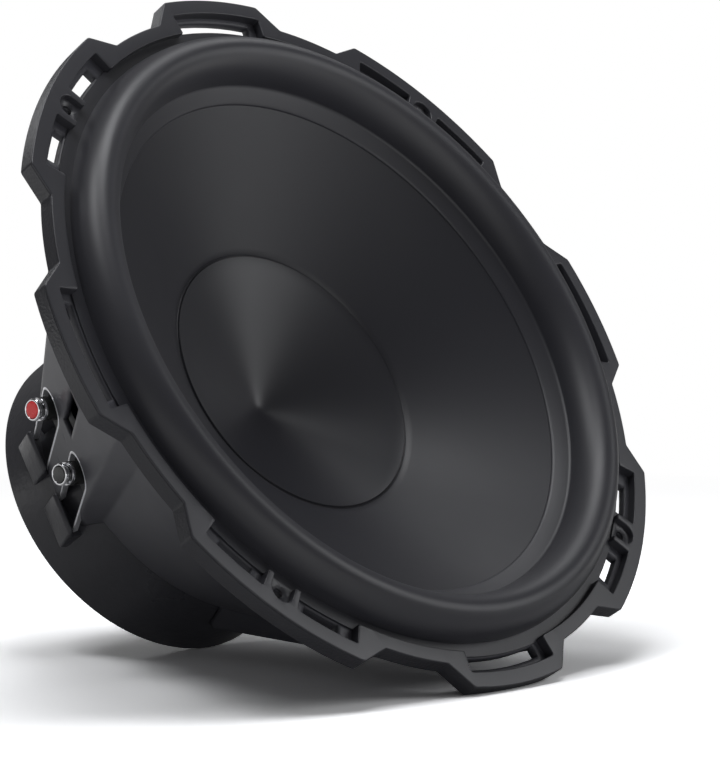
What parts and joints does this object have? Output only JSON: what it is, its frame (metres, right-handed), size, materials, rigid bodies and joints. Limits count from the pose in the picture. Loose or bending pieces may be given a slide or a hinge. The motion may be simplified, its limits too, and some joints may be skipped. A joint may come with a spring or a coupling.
{
  "type": "car subwoofer speaker",
  "caption": "Large car subwoofer driver: lobed trim ring, half-roll surround, shallow cone and cap, conical basket, booted magnet motor, push terminals.",
  "frame": {"origin": "centre of the motor boot's flat back face, on the driver's axis", "axes": "+Z along the driver's axis from the motor to the cone's front; the terminals stand out along -X and +X"},
  "size_m": [0.4012, 0.4012, 0.2036],
  "materials": {
    "ring_plastic": "fine satin front, pebbled sides",
    "basket_paint": "satin powder coat",
    "boot_rubber": "smooth satin",
    "yoke_steel": "zinc plated",
    "magnet_ferrite": "ground ferrite",
    "sleeve_copper": "bright copper",
    "screen_steel": "woven mesh",
    "screw_steel": "black zinc",
    "surround_foam": "matt",
    "cone_pulp": "smooth matt",
    "spider_cloth": "resin-treated weave",
    "clamp_plastic": "moulded",
    "former_aluminium": "thin sheet",
    "winding_copper": "enamelled wire",
    "block_plastic": "moulded",
    "terminal_chrome": "bright nickel plate",
    "insert_red": "translucent-edged gloss",
    "insert_black": "gloss",
    "spring_steel": "spring wire",
    "tab_brass": "tinned brass",
    "lead_braid": "braided tinsel"
  },
  "bodies": {
    "frame": {"trim_ring": "ring_plastic", "basket": "basket_paint", "spider_clamp": "clamp_plastic", "motor_boot": "boot_rubber", "pole_yoke": "yoke_steel", "rear_magnet": "magnet_ferrite", "front_magnet": "magnet_ferrite", "top_plate": "yoke_steel", "shorting_sleeve": "sleeve_copper", "vent_screen": "screen_steel", "motor_screws": "screw_steel", "surround": "surround_foam", "spider": "spider_cloth", "left_terminal_block": "block_plastic", "left_block_screws": "screw_steel", "left_positive_barrel": "terminal_chrome", "left_positive_spring": "spring_steel", "left_positive_tab": "tab_brass", "left_positive_lead": "lead_braid", "left_negative_barrel": "terminal_chrome", "left_negative_spring": "spring_steel", "left_negative_tab": "tab_brass", "left_negative_lead": "lead_braid", "right_terminal_block": "block_plastic", "right_block_screws": "screw_steel", "right_positive_barrel": "terminal_chrome", "right_positive_spring": "spring_steel", "right_positive_tab": "tab_brass", "right_positive_lead": "lead_braid", "right_negative_barrel": "terminal_chrome", "right_negative_spring": "spring_steel", "right_negative_tab": "tab_brass", "right_negative_lead": "lead_braid"},
    "cone_assembly": {"cone": "cone_pulp", "dust_cap": "cone_pulp", "coil_former": "former_aluminium", "inner_winding": "winding_copper", "outer_winding": "winding_copper", "lead_collar": "clamp_plastic"},
    "left_positive_push": {"left_positive_button": "terminal_chrome", "left_positive_insert": "insert_red"},
    "left_negative_push": {"left_negative_button": "terminal_chrome", "left_negative_insert": "insert_black"},
    "right_positive_push": {"right_positive_button": "terminal_chrome", "right_positive_insert": "insert_red"},
    "right_negative_push": {"right_negative_button": "terminal_chrome", "right_negative_insert": "insert_black"}
  },
  "joints": [
    {"name": "cone_travel", "type": "slide", "parent": "frame", "child": "cone_assembly", "axis": [0, 0, 1], "range_m": [-0.01, 0.01], "stiffness_N_per_m": 8500, "springref_m": 0.0004, "deforming": ["surround", "spider", "left_positive_lead", "left_negative_lead", "right_positive_lead", "right_negative_lead"]},
    {"name": "left_positive_press", "type": "slide", "parent": "frame", "child": "left_positive_push", "axis": [1, 0, 0], "range_m": [0, 0.002], "stiffness_N_per_m": 700, "springref_m": -0.0015, "deforming": ["left_positive_spring"]},
    {"name": "left_negative_press", "type": "slide", "parent": "frame", "child": "left_negative_push", "axis": [1, 0, 0], "range_m": [0, 0.002], "stiffness_N_per_m": 700, "springref_m": -0.0015, "deforming": ["left_negative_spring"]},
    {"name": "right_positive_press", "type": "slide", "parent": "frame", "child": "right_positive_push", "axis": [-1, 0, 0], "range_m": [0, 0.002], "stiffness_N_per_m": 700, "springref_m": -0.0015, "deforming": ["right_positive_spring"]},
    {"name": "right_negative_press", "type": "slide", "parent": "frame", "child": "right_negative_push", "axis": [-1, 0, 0], "range_m": [0, 0.002], "stiffness_N_per_m": 700, "springref_m": -0.0015, "deforming": ["right_negative_spring"]}
  ]
}
